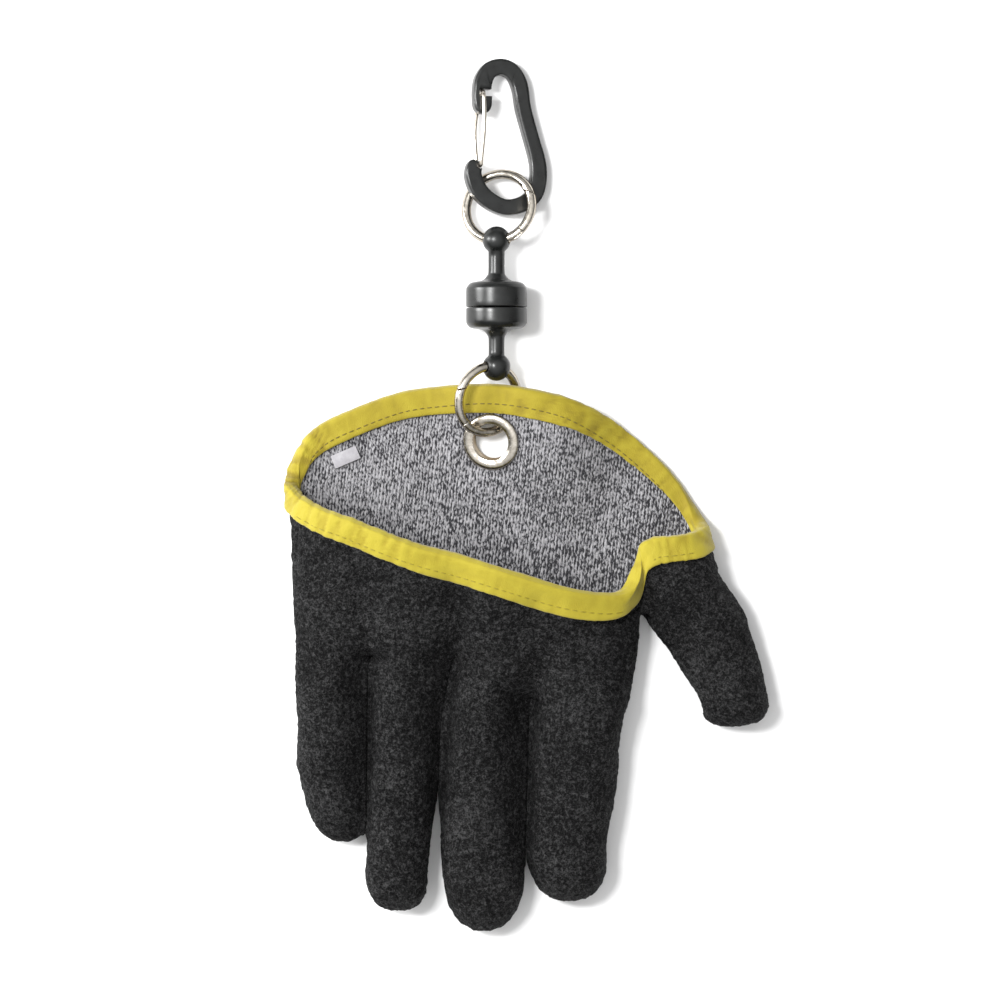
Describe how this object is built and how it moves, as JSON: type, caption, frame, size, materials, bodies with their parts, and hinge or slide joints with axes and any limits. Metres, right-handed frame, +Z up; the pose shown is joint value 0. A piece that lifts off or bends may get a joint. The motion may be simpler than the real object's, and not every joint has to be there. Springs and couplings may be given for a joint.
{
  "type": "fishing glove",
  "caption": "Five finger work glove with a black crinkle coating, yellow bound cuff, and a grommet, ring, magnetic release and carabiner to hang it by.",
  "frame": {"origin": "centre of the underside of the bounding box", "axes": "+Z up from the surface it lies on, +X to the thumb side, +Y from the fingertips to the carabiner"},
  "size_m": [0.1386, 0.2496, 0.028],
  "materials": {
    "coated_knit": "matte crinkle coating outside, grey knit inside",
    "binding": "matte",
    "label": "matte",
    "nickel": "polished",
    "black_satin": "satin",
    "steel_wire": "polished"
  },
  "bodies": {
    "glove_side": {"glove_shell": "coated_knit", "rim_binding": "binding", "grommet": "nickel", "size_label": "label", "lower_ring_body": "nickel", "magnet_lower": "black_satin"},
    "clip_side": {"magnet_upper": "black_satin", "upper_ring_body": "nickel", "clip_body": "black_satin"},
    "lower_gate": {"lower_ring_gate": "nickel"},
    "upper_gate": {"upper_ring_gate": "nickel"},
    "wire_gate": {"clip_gate": "steel_wire"}
  },
  "joints": [
    {"name": "magnet_release", "type": "slide", "parent": "glove_side", "child": "clip_side", "axis": [0, 1, 0], "range_m": [0, 0.04]},
    {"name": "lower_gate_hinge", "type": "hinge", "parent": "glove_side", "child": "lower_gate", "pos_m": [-0.01654, 0.01945, 0.00915], "axis": [-0.5031, 0.2096, -0.8384], "range_deg": [0, 30], "stiffness_Nm_per_rad": 0.004, "springref_deg": -17.19},
    {"name": "upper_gate_hinge", "type": "hinge", "parent": "clip_side", "child": "upper_gate", "pos_m": [-0.00319, 0.07434, 0.01024], "axis": [-0.3297, 0.229, 0.9159], "range_deg": [0, 25], "stiffness_Nm_per_rad": 0.004, "springref_deg": -17.19},
    {"name": "wire_gate_hinge", "type": "hinge", "parent": "clip_side", "child": "wire_gate", "pos_m": [-0.01367, 0.09398, 0.00616], "axis": [-0.2198, -0.0479, -0.9744], "range_deg": [0, 25], "stiffness_Nm_per_rad": 0.01, "springref_deg": -17.19}
  ]
}
